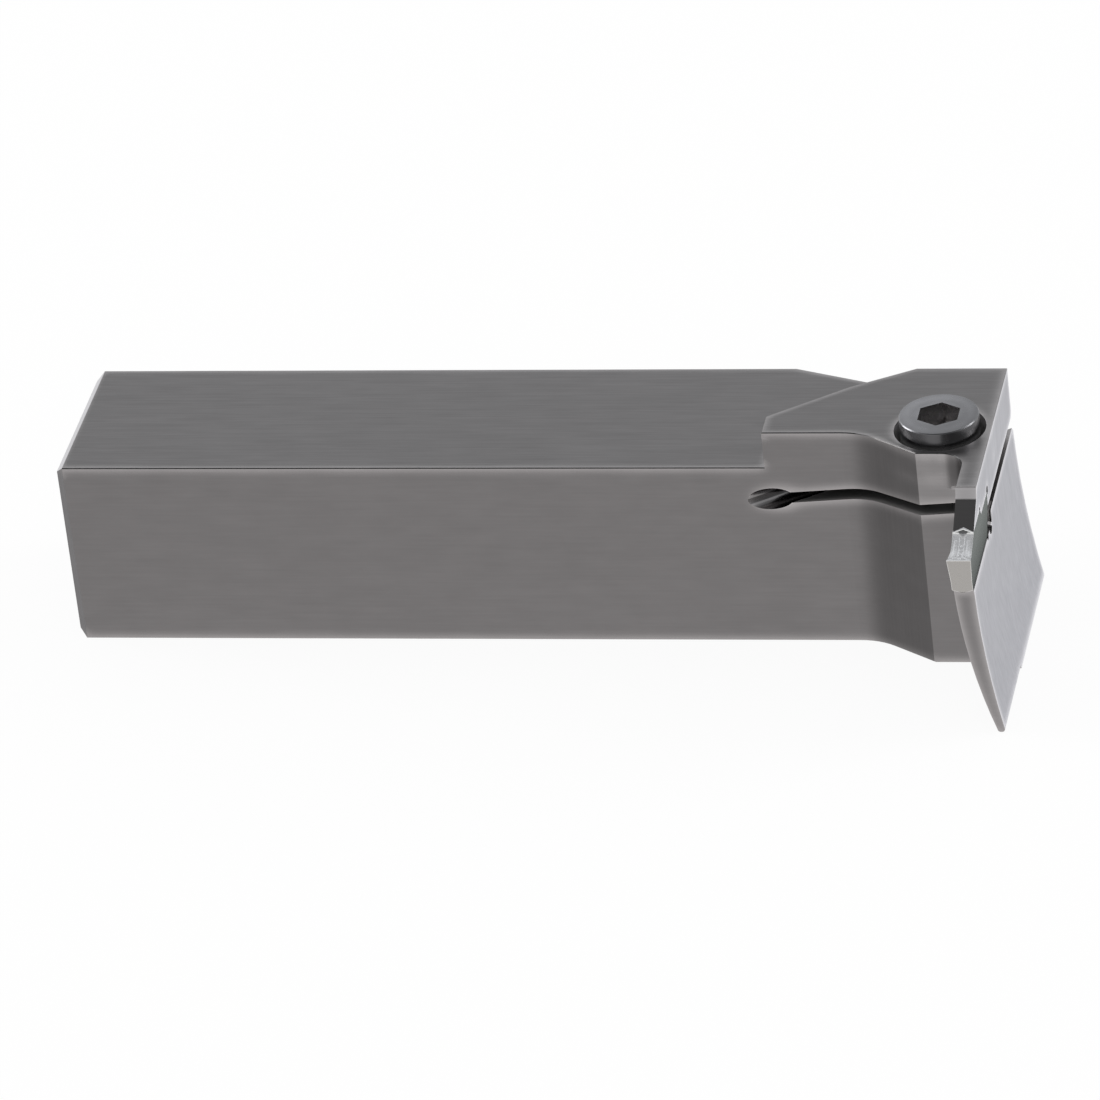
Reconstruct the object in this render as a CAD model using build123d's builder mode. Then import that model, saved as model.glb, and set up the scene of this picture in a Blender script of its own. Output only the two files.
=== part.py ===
from build123d import *
from math import cos, radians, sin, tan
import os

# Face-grooving tool holder: a one-piece steel body whose clamping jaw is a spring leaf cut free
# by a slit, one socket-head clamp screw and one grooving insert.
# Frame: origin at the centre of the shank's rear end face, +X along the shank to the head,
# -Y the way the cutting edge plunges into the face of the work, +Z up. Millimetres and degrees.

# Shank
shank_width = 25.0
shank_height = 25.0
shank_length = 91.0
end_chamfer = 1.0
edge_bevel = 0.1

# Head: the lower body carries the support blade, the raised part is the root of the jaw
head_length = 28.65
head_rise = 5.0
head_back_inset = 8.9
back_slant_angle = 20.3
pad_reach = 5.1
pad_width = 8.65
flare_angle = 33.9
flare_fillet = 8.0
step_wall_width = 4.1
shoulder_run = 9.5
shoulder_angle = 38.0
shoulder_front_angle = 30.5

# Curved support blade, bent round the axis of the work at the height of the cutting edge
blade_reach = 16.35
blade_width = 2.55
blade_outer_radius = 78.0
blade_foot_width = 0.9
blade_foot_flat = 0.1
blade_square_foot = 1.4
blade_root_fillet = 1.2

# Finger of the jaw, as wide as the blade, which presses on the insert
finger_fillet = 3.0
nose_reach = 8.2
nose_front_rake = 0.6
nose_front_height = 1.4
nose_slope_angle = 34.0

# Slit that frees the jaw, and the round relief along its root
slit_width = 1.5
slit_rise_angle = 3.95
slit_drop = 2.5
root_ahead_of_step = 0.45
root_angle = 31.0
relief_diameter = 3.0

# Clamp screw, M6 socket head
screw_diameter = 6.0
screw_length = 16.0
screw_head_diameter = 10.0
screw_head_height = 6.0
screw_head_chamfer = 0.15
screw_tip_chamfer = 0.6
hex_across_flats = 5.0
hex_depth = 3.2
hex_turn = 30.0
screw_head_proud = 2.0
screw_from_face = 6.4
screw_from_pad = 6.2
counterbore_diameter = 11.5
clearance_hole_diameter = 6.6
thread_clearance = 0.05
tapped_hole_spare = 3.0
drill_point_angle = 118.0

# Grooving insert: prismatic seat below, roof-shaped land above, slanted back face
insert_width = 3.0
insert_neck_width = 2.6
insert_neck_setback = 2.5
insert_side_relief = 2.3
insert_front_relief = 12.0
insert_length = 16.45
insert_overhang = 1.05
insert_seat_depth = 5.15
vee_angle = 16.0
vee_edge_chamfer = 0.12
land_height = 1.5
land_setback = 5.1
land_length = 4.9
ramp_angle = 54.0
facet_angle = 50.0
back_flank_height = 1.4
back_flank_relief = 12.0
back_slope_angle = 33.0
chip_land = 0.2
chip_groove_run = 0.95
chip_groove_depth = 0.17
chip_rise = 1.05
chip_valley_width = 1.4
chip_valley_depth = 0.45
chip_valley_rise = 0.68
chip_valley_angle = 13.7

# Pocket that the insert slides into
pocket_clearance = 0.06
jaw_relief_diameter = 1.15
jaw_relief_offset = 0.2
ramp_relief_diameter = 0.75
corner_relief_diameter = 1.0
recess_bottom_diameter = 2.0
stop_web_height = 1.4
stop_web_width = 0.4
side_recess_depth = 0.9
side_recess_reach = 2.0

# Planes and levels that the pieces share
front_y = -shank_width / 2
back_y = shank_width / 2
underside_z = -shank_height / 2
shank_top_z = shank_height / 2
cutting_z = shank_top_z
head_top_z = shank_top_z + head_rise
face_x = shank_length + head_length
pad_y = front_y - pad_reach
head_back_y = back_y - head_back_inset
blade_front_y = pad_y - blade_reach
cutting_y = blade_front_y - insert_overhang
insert_x = face_x - insert_neck_width / 2
seat_z = cutting_z - insert_seat_depth
screw_x = face_x - screw_from_face
screw_y = pad_y + screw_from_pad
screw_seat_z = head_top_z + screw_head_proud - screw_head_height
vee_slope = tan(radians(vee_angle))
seat_edge_z = seat_z + vee_slope * blade_width / 2

# Insert seen from its side, as stations along Y and heights: the roof ridge, its eaves, the ramp
# behind it, the knee of the back face and the foot of its slant
ridge_z = cutting_z + land_height
eaves_z = ridge_z - vee_slope * insert_neck_width / 2
ridge_front_y = cutting_y + land_setback
ridge_back_y = ridge_front_y + land_length
ramp_head_y = ridge_back_y + (ridge_z - eaves_z) / tan(radians(ramp_angle))
ramp_foot_y = ridge_back_y + land_height / tan(radians(ramp_angle))
back_y_top = cutting_y + insert_length
knee_z = cutting_z - back_flank_height
knee_y = back_y_top - back_flank_height * tan(radians(back_flank_relief))
back_foot_y = knee_y - (knee_z - seat_z) * tan(radians(back_slope_angle))
front_foot_y = cutting_y + insert_seat_depth * tan(radians(insert_front_relief))

# Head outline
flare_start_x = face_x - pad_width - pad_reach / tan(radians(flare_angle))
slant_end_x = shank_length + head_back_inset / tan(radians(back_slant_angle))
shoulder_y = front_y + step_wall_width
bend_x = shank_length + shoulder_run
bend_y = shoulder_y + shoulder_run * tan(radians(shoulder_angle))
jaw_back_x = bend_x + (head_back_y - bend_y) / tan(radians(shoulder_front_angle))
blade_left_x = face_x - blade_width
nose_top_y = pad_y - nose_reach
nose_bend_y = nose_top_y - nose_front_rake
nose_bend_z = head_top_z - nose_front_height
nose_tip_y = nose_bend_y - (nose_bend_z - eaves_z) / tan(radians(nose_slope_angle))

# Both sides of the blade are arcs centred level with the cutting edge; the inner one is the
# flatter, so that the blade thins towards its foot
outer_foot_x = blade_left_x + blade_outer_radius - (blade_outer_radius**2 - shank_height**2) ** 0.5
inner_foot_x = outer_foot_x + blade_foot_width
hollow_depth = inner_foot_x - face_x
blade_inner_radius = (shank_height**2 + hollow_depth**2) / (2 * hollow_depth)

# Middle of the slit at the right-hand face, at the screw and at the root of the jaw
root_x = shank_length + root_ahead_of_step
slit_face_z = cutting_z - slit_drop
slit_screw_z = slit_face_z - screw_from_face * tan(radians(slit_rise_angle))
slit_root_z = slit_face_z - (face_x - root_x) * tan(radians(slit_rise_angle))

# Clamp screw and its hole
screw_top_z = head_top_z + screw_head_proud
screw_tip_z = screw_seat_z - screw_length
tapped_radius = screw_diameter / 2 + thread_clearance
tapped_foot_z = screw_tip_z - tapped_hole_spare
drill_point_height = tapped_radius / tan(radians(drill_point_angle / 2))

# Pocket and chip breaker
pocket_left_x = blade_left_x - finger_fillet - pocket_clearance
ramp_clearance = pocket_clearance / sin(radians(ramp_angle))
stop_web_z = seat_edge_z + stop_web_height
facet_foot_y = ridge_front_y - (ridge_z - cutting_z - chip_rise) / tan(radians(facet_angle))
valley_end_z = cutting_z + chip_valley_rise
valley_end_y = ridge_front_y - (ridge_z - valley_end_z) / tan(radians(facet_angle))
seat_half_width = insert_neck_width / 2 - vee_edge_chamfer
seat_corner_x = insert_x + seat_half_width
seat_corner_z = seat_z + vee_slope * seat_half_width


def back_face_y(z):
    """Station of the insert's slanted back face at height z."""
    return knee_y - (knee_z - z) * tan(radians(back_slope_angle))


# Stock that is trimmed back to the right-hand face of the head
stock_x = inner_foot_x + blade_width
stock_width = stock_x - blade_left_x
recess_back_y = back_face_y(slit_face_z) + side_recess_reach

# Holder body: shank, head, spring jaw and curved blade, all one piece
with BuildPart() as holder_body:
    # Lower body: shank and foot of the head in one outline seen from above
    with BuildSketch(Plane.XY.offset(underside_z)):
        with BuildLine():
            Polyline(
                (0, front_y),
                (flare_start_x, front_y),
                (face_x - pad_width, pad_y),
                (stock_x, pad_y),
                (stock_x, head_back_y),
                (slant_end_x, head_back_y),
                (shank_length, back_y),
                (0, back_y),
                close=True,
            )
        make_face()
        fillet(vertices().sort_by_distance((flare_start_x, front_y, 0))[0], radius=flare_fillet)
    extrude(amount=shank_height)

    # Raised root of the jaw
    with BuildSketch(Plane.XY.offset(shank_top_z)):
        with BuildLine():
            Polyline(
                (shank_length, front_y),
                (flare_start_x, front_y),
                (face_x - pad_width, pad_y),
                (stock_x, pad_y),
                (stock_x, head_back_y),
                (jaw_back_x, head_back_y),
                (bend_x, bend_y),
                (shank_length, shoulder_y),
                close=True,
            )
        make_face()
        fillet(vertices().sort_by_distance((flare_start_x, front_y, 0))[0], radius=flare_fillet)
    extrude(amount=head_rise)

    # Finger of the jaw with its sloping nose
    with BuildSketch(Plane.YZ.offset(blade_left_x)):
        with BuildLine():
            Polyline(
                (pad_y, head_top_z),
                (nose_top_y, head_top_z),
                (nose_bend_y, nose_bend_z),
                (nose_tip_y, eaves_z),
                (ridge_back_y, eaves_z),
                (ridge_back_y, cutting_z),
                (pad_y, cutting_z),
                close=True,
            )
        make_face()
    extrude(amount=stock_width)
    fillet(
        edges().filter_by(Axis.Z).sort_by_distance((blade_left_x, pad_y, head_top_z))[0],
        radius=finger_fillet,
    )

    # Support blade: the left side is the outer arc, the right side the inner arc, the foot is round
    with BuildSketch(Plane.XZ.offset(-pad_y)) as blade_section:
        with BuildLine():
            outer_side = RadiusArc(
                (blade_left_x, cutting_z), (outer_foot_x, underside_z), -blade_outer_radius
            )
            Line(outer_side @ 1, (inner_foot_x, underside_z))
            inner_side = RadiusArc(
                (inner_foot_x, underside_z), (face_x, cutting_z), blade_inner_radius
            )
            Line(inner_side @ 1, outer_side @ 0)
        make_face()
    extrude(amount=blade_square_foot)
    with BuildSketch(Plane.XZ.offset(-pad_y + blade_square_foot)):
        add(blade_section.sketch_local)
        fillet(vertices().group_by(Axis.Y)[0], radius=(blade_foot_width - blade_foot_flat) / 2)
    extrude(amount=blade_reach - blade_square_foot)
    fillet(
        edges()
        .filter_by(GeomType.CIRCLE)
        .sort_by_distance((blade_left_x, pad_y, cutting_z))[0],
        radius=blade_root_fillet,
    )

    # Right-hand face: flat above the cutting edge, hollowed below it to clear the groove
    with BuildSketch(Plane.XZ.offset(-blade_front_y)):
        with BuildLine():
            hollow = RadiusArc(
                (inner_foot_x, underside_z), (face_x, cutting_z), blade_inner_radius
            )
            Polyline(
                hollow @ 1,
                (face_x, head_top_z),
                (stock_x, head_top_z),
                (stock_x, underside_z),
                hollow @ 0,
            )
        make_face()
    extrude(amount=blade_front_y - head_back_y, mode=Mode.SUBTRACT)

    # Chamfered rear end and bevelled outer edges
    chamfer(faces().sort_by(Axis.X)[0].edges(), length=end_chamfer)
    underside = faces().filter_by(Axis.Z).sort_by(Axis.Z)[0]
    chamfer(
        underside.edges().filter_by_position(Axis.Y, front_y, front_y)
        + underside.edges().filter_by_position(Axis.Y, back_y, back_y),
        length=edge_bevel,
    )
    chamfer(faces().sort_by(Axis.Z)[-1].edges(), length=edge_bevel)
    chamfer(
        edges()
        .filter_by_position(Axis.Z, shank_top_z, shank_top_z)
        .filter_by_position(Axis.Y, front_y, front_y),
        length=edge_bevel,
    )
    chamfer(
        edges()
        .filter_by_position(Axis.Z, shank_top_z, shank_top_z)
        .filter_by_position(Axis.Y, back_y, back_y),
        length=edge_bevel,
    )

    # Slit that frees the jaw: everything ahead of the root line, in a plane that rises to the face
    slit_plane = Plane(
        origin=(root_x, front_y, slit_root_z),
        x_dir=(cos(radians(slit_rise_angle)), 0, sin(radians(slit_rise_angle))),
        z_dir=(-sin(radians(slit_rise_angle)), 0, cos(radians(slit_rise_angle))),
    )
    root_direction = slit_plane.x_dir.rotate(Axis((0, 0, 0), slit_plane.z_dir), root_angle)
    root_reach = head_length + shank_width
    with BuildSketch(slit_plane):
        with BuildLine():
            Polyline(
                (0, 0),
                (root_reach * cos(radians(root_angle)), root_reach * sin(radians(root_angle))),
                (root_reach * cos(radians(root_angle)), -pad_reach - finger_fillet),
                (0, -pad_reach - finger_fillet),
                close=True,
            )
        make_face()
    extrude(amount=slit_width / 2, both=True, mode=Mode.SUBTRACT)

    # Round relief along the root of the jaw, through from front to back
    with BuildSketch(Plane(origin=slit_plane.origin, z_dir=root_direction)):
        Circle(relief_diameter / 2)
    extrude(amount=root_reach, both=True, mode=Mode.SUBTRACT)

    # Clamp screw's counterbore, clearance hole and tapped hole
    with Locations((screw_x, screw_y, head_top_z)):
        CounterBoreHole(
            radius=clearance_hole_diameter / 2,
            counter_bore_radius=counterbore_diameter / 2,
            counter_bore_depth=head_top_z - screw_seat_z,
            depth=head_top_z - slit_screw_z,
        )
    with Locations((screw_x, screw_y, slit_screw_z)):
        Hole(radius=tapped_radius, depth=slit_screw_z - tapped_foot_z)
    with Locations((screw_x, screw_y, tapped_foot_z)):
        Cone(
            bottom_radius=0,
            top_radius=tapped_radius,
            height=drill_point_height,
            align=(Align.CENTER, Align.CENTER, Align.MAX),
            mode=Mode.SUBTRACT,
        )

    # Pocket: open from the blade's front to the stop that the insert's slanted back rests on
    with BuildSketch(Plane.YZ.offset(pocket_left_x)):
        with BuildLine():
            Polyline(
                (cutting_y, seat_edge_z),
                (back_face_y(seat_edge_z), seat_edge_z),
                (back_face_y(slit_face_z), slit_face_z),
                (knee_y + pocket_clearance, slit_face_z),
                (knee_y + pocket_clearance, knee_z),
                (back_y_top + pocket_clearance, cutting_z + pocket_clearance),
                (ramp_foot_y + ramp_clearance, cutting_z + pocket_clearance),
                (ramp_head_y + ramp_clearance, eaves_z),
                (cutting_y, eaves_z),
                close=True,
            )
        make_face()
        with Locations((back_face_y(seat_edge_z), seat_edge_z)):
            Circle(corner_relief_diameter / 2)
        with Locations((back_y_top + jaw_relief_offset, cutting_z + jaw_relief_offset)):
            Circle(jaw_relief_diameter / 2)
        with Locations((ramp_head_y, eaves_z)):
            Circle(ramp_relief_diameter / 2)
    extrude(amount=stock_x - pocket_left_x, mode=Mode.SUBTRACT)

    # Side recess that bares the stop at the right-hand face, but for one narrow web square to it
    with BuildSketch(Plane.YZ.offset(face_x - side_recess_depth)):
        with BuildLine():
            Polyline(
                (back_face_y(seat_edge_z), seat_edge_z),
                (back_face_y(slit_face_z), slit_face_z),
                (recess_back_y, slit_face_z),
                (recess_back_y, seat_edge_z),
                close=True,
            )
        make_face()
        with Locations((recess_back_y - recess_bottom_diameter / 2, seat_edge_z)):
            Circle(recess_bottom_diameter / 2)
        with Locations((back_face_y(stop_web_z), stop_web_z)):
            Rectangle(
                insert_length,
                stop_web_width,
                rotation=-back_slope_angle,
                align=(Align.MIN, Align.CENTER),
                mode=Mode.SUBTRACT,
            )
    extrude(amount=stock_x - face_x, mode=Mode.SUBTRACT)

    # Roof-shaped groove under the jaw and V-shaped seat on the blade
    with BuildSketch(Plane.XZ.offset(-ramp_head_y - ramp_clearance)):
        with BuildLine():
            Polyline(
                (insert_x, ridge_z),
                (stock_x, ridge_z - vee_slope * (stock_x - insert_x)),
                (2 * insert_x - stock_x, ridge_z - vee_slope * (stock_x - insert_x)),
                close=True,
            )
        make_face()
    extrude(amount=ramp_head_y - cutting_y, mode=Mode.SUBTRACT)
    with BuildSketch(Plane.XZ.offset(-back_foot_y)):
        with BuildLine():
            Polyline(
                (insert_x, seat_z),
                (stock_x, seat_z + vee_slope * (stock_x - insert_x)),
                (2 * insert_x - stock_x, seat_z + vee_slope * (stock_x - insert_x)),
                close=True,
            )
        make_face()
    extrude(amount=back_foot_y - cutting_y, mode=Mode.SUBTRACT)

# Clamp screw
with BuildPart() as clamp_screw:
    with BuildSketch(Plane.XZ.offset(-screw_y)):
        with BuildLine():
            Polyline(
                (screw_x, screw_tip_z),
                (screw_x + screw_diameter / 2 - screw_tip_chamfer, screw_tip_z),
                (screw_x + screw_diameter / 2, screw_tip_z + screw_tip_chamfer),
                (screw_x + screw_diameter / 2, screw_seat_z),
                (screw_x + screw_head_diameter / 2, screw_seat_z),
                (screw_x + screw_head_diameter / 2, screw_top_z - screw_head_chamfer),
                (screw_x + screw_head_diameter / 2 - screw_head_chamfer, screw_top_z),
                (screw_x, screw_top_z),
                close=True,
            )
        make_face()
    revolve(axis=Axis((screw_x, screw_y, 0), (0, 0, 1)))
    with BuildSketch(Plane.XY.offset(screw_top_z)):
        with Locations((screw_x, screw_y)):
            RegularPolygon(
                radius=hex_across_flats / 2, side_count=6, major_radius=False, rotation=hex_turn
            )
    extrude(amount=-hex_depth, mode=Mode.SUBTRACT)
    with Locations((screw_x, screw_y, screw_top_z - hex_depth)):
        Cone(
            bottom_radius=0,
            top_radius=hex_across_flats / 2,
            height=hex_across_flats / 2 / tan(radians(drill_point_angle / 2)),
            align=(Align.CENTER, Align.CENTER, Align.MAX),
            mode=Mode.SUBTRACT,
        )

# Grooving insert
with BuildPart() as cutting_insert:
    # Neck with upright sides, from the seat to the top of the land
    with BuildSketch(Plane.XY.offset(seat_z)):
        with Locations((insert_x, cutting_y)):
            Rectangle(insert_neck_width, insert_length, align=(Align.CENTER, Align.MIN))
    extrude(amount=insert_seat_depth + land_height)

    # Cutting head: full width at the edge, relieved towards the neck and downwards
    with BuildSketch(Plane.XY.offset(cutting_z)) as head_outline:
        with BuildLine():
            Polyline(
                (insert_x - insert_width / 2, cutting_y),
                (insert_x + insert_width / 2, cutting_y),
                (insert_x + insert_neck_width / 2, cutting_y + insert_neck_setback),
                (insert_x - insert_neck_width / 2, cutting_y + insert_neck_setback),
                close=True,
            )
        make_face()
    extrude(amount=land_height)
    extrude(head_outline.sketch, amount=insert_seat_depth, dir=(0, 0, -1), taper=insert_side_relief)

    # Side view: relieved front flank, chip groove, clamping land, ramp and slanted back
    with BuildSketch(Plane.YZ.offset(insert_x)):
        with BuildLine():
            chip_groove = ThreePointArc(
                (cutting_y + chip_land, cutting_z),
                (cutting_y + chip_land + chip_groove_run, cutting_z - chip_groove_depth),
                (facet_foot_y, cutting_z + chip_rise),
            )
            Polyline(
                chip_groove @ 1,
                (ridge_front_y, ridge_z),
                (ridge_back_y, ridge_z),
                (ramp_foot_y, cutting_z),
                (back_y_top, cutting_z),
                (knee_y, knee_z),
                (back_foot_y, seat_z),
                (front_foot_y, seat_z),
                (cutting_y, cutting_z),
                chip_groove @ 0,
            )
        make_face()
    extrude(amount=insert_width, both=True, mode=Mode.INTERSECT)

    # Section: V-shaped seat with eased corners below, roof-shaped land above
    with BuildSketch(Plane.XZ.offset(-back_y_top)):
        with BuildLine():
            Polyline(
                (insert_x, seat_z),
                (seat_corner_x, seat_corner_z),
                (seat_corner_x + insert_width, seat_corner_z + insert_width),
                (seat_corner_x + insert_width, ridge_z - vee_slope * (seat_half_width + insert_width)),
                (insert_x, ridge_z),
            )
            mirror(about=Plane.YZ.offset(insert_x))
        make_face()
    extrude(amount=insert_length + insert_overhang, both=True, mode=Mode.INTERSECT)

    # Chip valley that climbs from the groove to the front facet of the land
    valley_plane = Plane(
        origin=(insert_x, valley_end_y, valley_end_z),
        x_dir=(1, 0, 0),
        z_dir=(0, -cos(radians(chip_valley_angle)), -sin(radians(chip_valley_angle))),
    )
    with BuildSketch(valley_plane):
        with BuildLine():
            Polyline(
                (0, 0),
                (chip_valley_width / 2, chip_valley_depth),
                (-chip_valley_width / 2, chip_valley_depth),
                close=True,
            )
        make_face()
    extrude(amount=land_setback - chip_land - chip_groove_run, mode=Mode.SUBTRACT)

holder_body.part.label = "holder_body"
clamp_screw.part.label = "clamp_screw"
cutting_insert.part.label = "cutting_insert"

os.makedirs("parts", exist_ok=True)
export_step(holder_body.part, "parts/holder_body.step")
export_step(clamp_screw.part, "parts/clamp_screw.step")
export_step(cutting_insert.part, "parts/cutting_insert.step")
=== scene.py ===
import bmesh
import bpy
import math
from mathutils import Matrix, Vector


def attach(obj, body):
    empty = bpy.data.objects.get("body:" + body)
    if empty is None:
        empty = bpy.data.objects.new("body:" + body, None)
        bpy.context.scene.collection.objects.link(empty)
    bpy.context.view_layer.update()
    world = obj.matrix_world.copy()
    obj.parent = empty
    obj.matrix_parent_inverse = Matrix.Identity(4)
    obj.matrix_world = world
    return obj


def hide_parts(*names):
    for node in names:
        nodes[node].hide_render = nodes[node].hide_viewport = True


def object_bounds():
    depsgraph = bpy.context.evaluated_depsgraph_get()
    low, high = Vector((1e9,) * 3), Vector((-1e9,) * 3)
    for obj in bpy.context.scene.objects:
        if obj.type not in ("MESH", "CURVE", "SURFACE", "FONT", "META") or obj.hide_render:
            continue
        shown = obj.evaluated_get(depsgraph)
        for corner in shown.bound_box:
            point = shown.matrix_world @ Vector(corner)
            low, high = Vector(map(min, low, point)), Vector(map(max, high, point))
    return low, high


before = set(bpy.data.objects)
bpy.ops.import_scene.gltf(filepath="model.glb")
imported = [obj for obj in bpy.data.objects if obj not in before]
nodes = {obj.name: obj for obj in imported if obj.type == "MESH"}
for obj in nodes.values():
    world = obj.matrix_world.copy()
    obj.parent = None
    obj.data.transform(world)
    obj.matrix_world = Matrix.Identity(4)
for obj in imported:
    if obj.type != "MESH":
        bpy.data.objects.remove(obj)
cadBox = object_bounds()
bpy.ops.object.select_all(action='DESELECT')
print("frame loaded:", ", ".join(sorted(nodes)))


# small helpers for the node trees

def newMaterial(name, colour, metallic, roughness):
    material = bpy.data.materials.new(name)
    material.use_nodes = True
    material.diffuse_color = (*colour, 1)
    shader = material.node_tree.nodes["Principled BSDF"]
    shader.inputs["Base Color"].default_value = (*colour, 1)
    shader.inputs["Metallic"].default_value = metallic
    shader.inputs["Roughness"].default_value = roughness
    return material, shader


def linkOrSet(tree, socket, value):
    # an output is linked, a number or a colour is set, and None leaves the socket as it is
    if hasattr(value, "is_output"):
        tree.links.new(value, socket)
    elif value is not None:
        socket.default_value = value


def addMath(tree, operation, first, second=None, clamp=False):
    node = tree.nodes.new("ShaderNodeMath")
    node.operation = operation
    node.use_clamp = clamp
    linkOrSet(tree, node.inputs[0], first)
    linkOrSet(tree, node.inputs[1], second)
    return node.outputs[0]


def addVectorMath(tree, operation, first, second=None):
    node = tree.nodes.new("ShaderNodeVectorMath")
    node.operation = operation
    linkOrSet(tree, node.inputs[0], first)
    linkOrSet(tree, node.inputs[1], second)
    return node.outputs["Value" if operation in ('DOT_PRODUCT', 'LENGTH') else "Vector"]


def addRange(tree, value, fromLow, fromHigh, toLow, toHigh, smooth=False):
    node = tree.nodes.new("ShaderNodeMapRange")
    node.interpolation_type = 'SMOOTHSTEP' if smooth else 'LINEAR'
    linkOrSet(tree, node.inputs["Value"], value)
    node.inputs["From Min"].default_value = fromLow
    node.inputs["From Max"].default_value = fromHigh
    node.inputs["To Min"].default_value = toLow
    node.inputs["To Max"].default_value = toHigh
    return node.outputs["Result"]


def risesOver(tree, value, span, smooth=False):
    # 0 below the span and 1 above it
    return addRange(tree, value, *span, 0.0, 1.0, smooth)


def fallsOver(tree, value, span, smooth=False):
    # 1 below the span and 0 above it
    return addRange(tree, value, *span, 1.0, 0.0, smooth)


def isAbove(tree, value, limit):
    return addMath(tree, 'GREATER_THAN', value, limit)


def isBelow(tree, value, limit):
    return addMath(tree, 'LESS_THAN', value, limit)


def sizeOf(tree, value):
    return addMath(tree, 'ABSOLUTE', value)


def levelLength(tree, vector):
    level = addVectorMath(tree, 'MULTIPLY', vector, (1, 1, 0))
    return addVectorMath(tree, 'LENGTH', level)


def allOf(tree, *masks):
    together = masks[0]
    for mask in masks[1:]:
        together = addMath(tree, 'MULTIPLY', together, mask)
    return together


def anyOf(tree, *masks):
    largest = masks[0]
    for mask in masks[1:]:
        largest = addMath(tree, 'MAXIMUM', largest, mask)
    return largest


def outside(tree, mask):
    return addMath(tree, 'SUBTRACT', 1.0, mask)


def boxMask(tree, position, lowest, highest):
    # 1 inside an upright box
    walls = []
    for axis in range(3):
        walls.append(isAbove(tree, position[axis], lowest[axis]))
        walls.append(isBelow(tree, position[axis], highest[axis]))
    return allOf(tree, *walls)


def addColourMix(tree, factor, first, second, blend='MIX'):
    node = tree.nodes.new("ShaderNodeMix")
    node.data_type = 'RGBA'
    node.blend_type = blend
    linkOrSet(tree, node.inputs[0], factor)
    linkOrSet(tree, node.inputs[6], (*first, 1) if isinstance(first, tuple) else first)
    linkOrSet(tree, node.inputs[7], (*second, 1) if isinstance(second, tuple) else second)
    return node.outputs[2]


def paintOver(tree, tone, *coats):
    # each coat is a mask and its colour, and a later coat covers the ones before it
    for mask, colour in coats:
        tone = addColourMix(tree, mask, tone, colour)
    return tone


def addValueMix(tree, factor, first, second):
    node = tree.nodes.new("ShaderNodeMix")
    node.data_type = 'FLOAT'
    linkOrSet(tree, node.inputs[0], factor)
    linkOrSet(tree, node.inputs[2], first)
    linkOrSet(tree, node.inputs[3], second)
    return node.outputs[0]


def addNoise(tree, vector, stretch, detail=3.0, roughness=0.55):
    mapping = tree.nodes.new("ShaderNodeMapping")
    mapping.inputs["Scale"].default_value = stretch
    tree.links.new(vector, mapping.inputs["Vector"])
    noise = tree.nodes.new("ShaderNodeTexNoise")
    noise.inputs["Scale"].default_value = 1.0
    noise.inputs["Detail"].default_value = detail
    noise.inputs["Roughness"].default_value = roughness
    tree.links.new(mapping.outputs[0], noise.inputs["Vector"])
    return noise.outputs["Fac"]


noiseMiddle, noiseReach = 0.5, (0.3, 0.7)            # nearly all of a noise lies within its reach


def spreadNoise(tree, noise, toLow, toHigh):
    return addRange(tree, noise, *noiseReach, toLow, toHigh)


def splitVector(tree, vector):
    node = tree.nodes.new("ShaderNodeSeparateXYZ")
    tree.links.new(vector, node.inputs[0])
    return node.outputs


def edgeMask(tree, radius, strength, spread, besides=None):
    # how far the rounded normal leaves the flat one: 0 on open faces, most at a corner
    samples, fullTurn, leastTilt, leastRight = 8, 0.3, 0.04, 0.3
    bevel = tree.nodes.new("ShaderNodeBevel")
    bevel.samples = samples
    bevel.inputs["Radius"].default_value = radius
    flat = tree.nodes.new("ShaderNodeNewGeometry").outputs["Normal"]
    alike = addVectorMath(tree, 'DOT_PRODUCT', bevel.outputs[0], flat)
    away = addMath(tree, 'SUBTRACT', 1.0, alike, clamp=True)
    away = addMath(tree, 'DIVIDE', away, fullTurn, clamp=True)
    if besides is not None:
        # an upright edge counts only where it turns to the right or where besides is 1
        turned = splitVector(tree, bevel.outputs[0])
        rise = addMath(tree, 'SUBTRACT', turned[2], splitVector(tree, flat)[2])
        tilted = isAbove(tree, sizeOf(tree, rise), leastTilt)
        right = isAbove(tree, turned[0], leastRight)
        away = allOf(tree, away, anyOf(tree, tilted, right, besides))
    return addMath(tree, 'MULTIPLY', addMath(tree, 'POWER', away, spread), strength)


def addBump(tree, shader, height, distance, strength):
    bump = tree.nodes.new("ShaderNodeBump")
    bump.inputs["Distance"].default_value = distance
    bump.inputs["Strength"].default_value = strength
    tree.links.new(height, bump.inputs["Height"])
    tree.links.new(bump.outputs[0], shader.inputs["Normal"])


def shadeTone(tree, tone, shade):
    grey = tree.nodes.new("ShaderNodeCombineColor")
    for channel in range(3):
        tree.links.new(shade, grey.inputs[channel])
    return addColourMix(tree, 1.0, tone, grey.outputs[0], blend='MULTIPLY')


def mixShaders(tree, factor, first, second):
    mix = tree.nodes.new("ShaderNodeMixShader")
    for socket, value in zip(mix.inputs, (factor, first, second)):
        tree.links.new(value, socket)
    return mix.outputs[0]


def dress(piece, material):
    piece.data.materials.clear()
    piece.data.materials.append(material)


# small helpers for modelling in edit mode

def pick(*pieces):
    # the first one becomes the active piece
    bpy.ops.object.select_all(action='DESELECT')
    for piece in pieces:
        piece.select_set(True)
    bpy.context.view_layer.objects.active = pieces[0]


def startEdit(piece):
    pick(piece)
    bpy.ops.object.mode_set(mode='EDIT')
    bpy.ops.mesh.select_all(action='DESELECT')


def endEdit():
    bpy.ops.object.mode_set(mode='OBJECT')


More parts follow.
